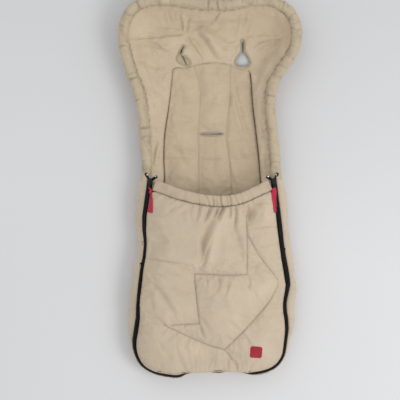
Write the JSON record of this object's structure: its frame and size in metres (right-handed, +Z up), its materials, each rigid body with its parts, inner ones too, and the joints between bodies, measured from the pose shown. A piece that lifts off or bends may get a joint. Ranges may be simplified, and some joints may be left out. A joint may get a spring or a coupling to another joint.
{
  "type": "stroller footmuff",
  "caption": "Padded stroller footmuff with a gathered hood, harness slots and a quilted front cover that unzips down both sides and folds open.",
  "frame": {"origin": "centre of the bounding box on the floor plane, under the lying footmuff", "axes": "+Y from the foot towards the hood, +Z up from the underside to the front cover, +X towards the viewer's right seen from above"},
  "size_m": [0.4817, 0.999, 0.1085],
  "materials": {
    "base_shell": "matte woven",
    "base_wadding": "polyester fibre wadding",
    "back_lining": "matte woven cotton, quilted",
    "hood_lining": "matte woven cotton",
    "hood_shell": "matte woven cotton",
    "hood_wadding": "polyester fibre wadding",
    "side_shell": "matte woven cotton",
    "side_wadding": "polyester fibre wadding",
    "side_lining": "matte woven cotton",
    "hood_rim_casing": "matte woven cotton, gathered",
    "hood_rim_cord": "braided elastic",
    "left_slot_binding": "bound edge",
    "right_slot_binding": "bound edge",
    "crotch_slot_binding": "bound edge",
    "back_zip_tape": "woven zip tape",
    "back_zip_coil": "nylon coil",
    "back_stop_left": "black enamel",
    "back_stop_right": "black enamel",
    "apron_shell": "matte woven cotton, quilted",
    "apron_wadding": "polyester fibre wadding",
    "apron_lining": "matte woven cotton",
    "apron_casing": "matte woven cotton, gathered",
    "apron_elastic": "flat woven elastic",
    "apron_zip_tape": "woven zip tape",
    "apron_zip_coil": "nylon coil",
    "apron_stop_left": "black enamel",
    "apron_stop_right": "black enamel",
    "red_patch": "plain sewn patch",
    "slider_left": "black enamel",
    "slider_right": "black enamel",
    "pull_left": "black enamel",
    "ribbon_left": "woven ribbon",
    "pull_right": "black enamel",
    "ribbon_right": "woven ribbon"
  },
  "bodies": {
    "back": {"base_shell": "base_shell", "base_wadding": "base_wadding", "back_lining": "back_lining", "hood_lining": "hood_lining", "hood_shell": "hood_shell", "hood_wadding": "hood_wadding", "side_shell": "side_shell", "side_wadding": "side_wadding", "side_lining": "side_lining", "hood_rim_casing": "hood_rim_casing", "hood_rim_cord": "hood_rim_cord", "left_slot_binding": "left_slot_binding", "right_slot_binding": "right_slot_binding", "crotch_slot_binding": "crotch_slot_binding", "back_zip_tape": "back_zip_tape", "back_zip_coil": "back_zip_coil", "back_stop_left": "back_stop_left", "back_stop_right": "back_stop_right"},
    "apron": {"apron_shell": "apron_shell", "apron_wadding": "apron_wadding", "apron_lining": "apron_lining", "apron_casing": "apron_casing", "apron_elastic": "apron_elastic", "apron_zip_tape": "apron_zip_tape", "apron_zip_coil": "apron_zip_coil", "apron_stop_left": "apron_stop_left", "apron_stop_right": "apron_stop_right", "red_patch": "red_patch"},
    "slider_left": {"slider_left": "slider_left"},
    "slider_right": {"slider_right": "slider_right"},
    "pull_left": {"pull_left": "pull_left", "ribbon_left": "ribbon_left"},
    "pull_right": {"pull_right": "pull_right", "ribbon_right": "ribbon_right"}
  },
  "joints": [
    {"name": "apron_open", "type": "hinge", "parent": "back", "child": "apron", "pos_m": [0, -0.4996, 0.044], "axis": [1, 0, 0], "range_deg": [0, 160]},
    {"name": "slider_left_slide", "type": "slide", "parent": "apron", "child": "slider_left", "axis": [-0.1005, -0.9949, 0], "range_m": [0, 0.25]},
    {"name": "slider_right_slide", "type": "slide", "parent": "apron", "child": "slider_right", "axis": [0.1382, -0.9904, 0], "range_m": [0, 0.25]},
    {"name": "pull_left_swing", "type": "hinge", "parent": "slider_left", "child": "pull_left", "pos_m": [-0.15766, 0.01173, 0.0678], "axis": [-0.9949, 0.1005, 0], "range_deg": [0, 150]},
    {"name": "pull_right_swing", "type": "hinge", "parent": "slider_right", "child": "pull_right", "pos_m": [0.16657, 0.01179, 0.0678], "axis": [-0.9904, -0.1382, 0], "range_deg": [0, 150]}
  ]
}
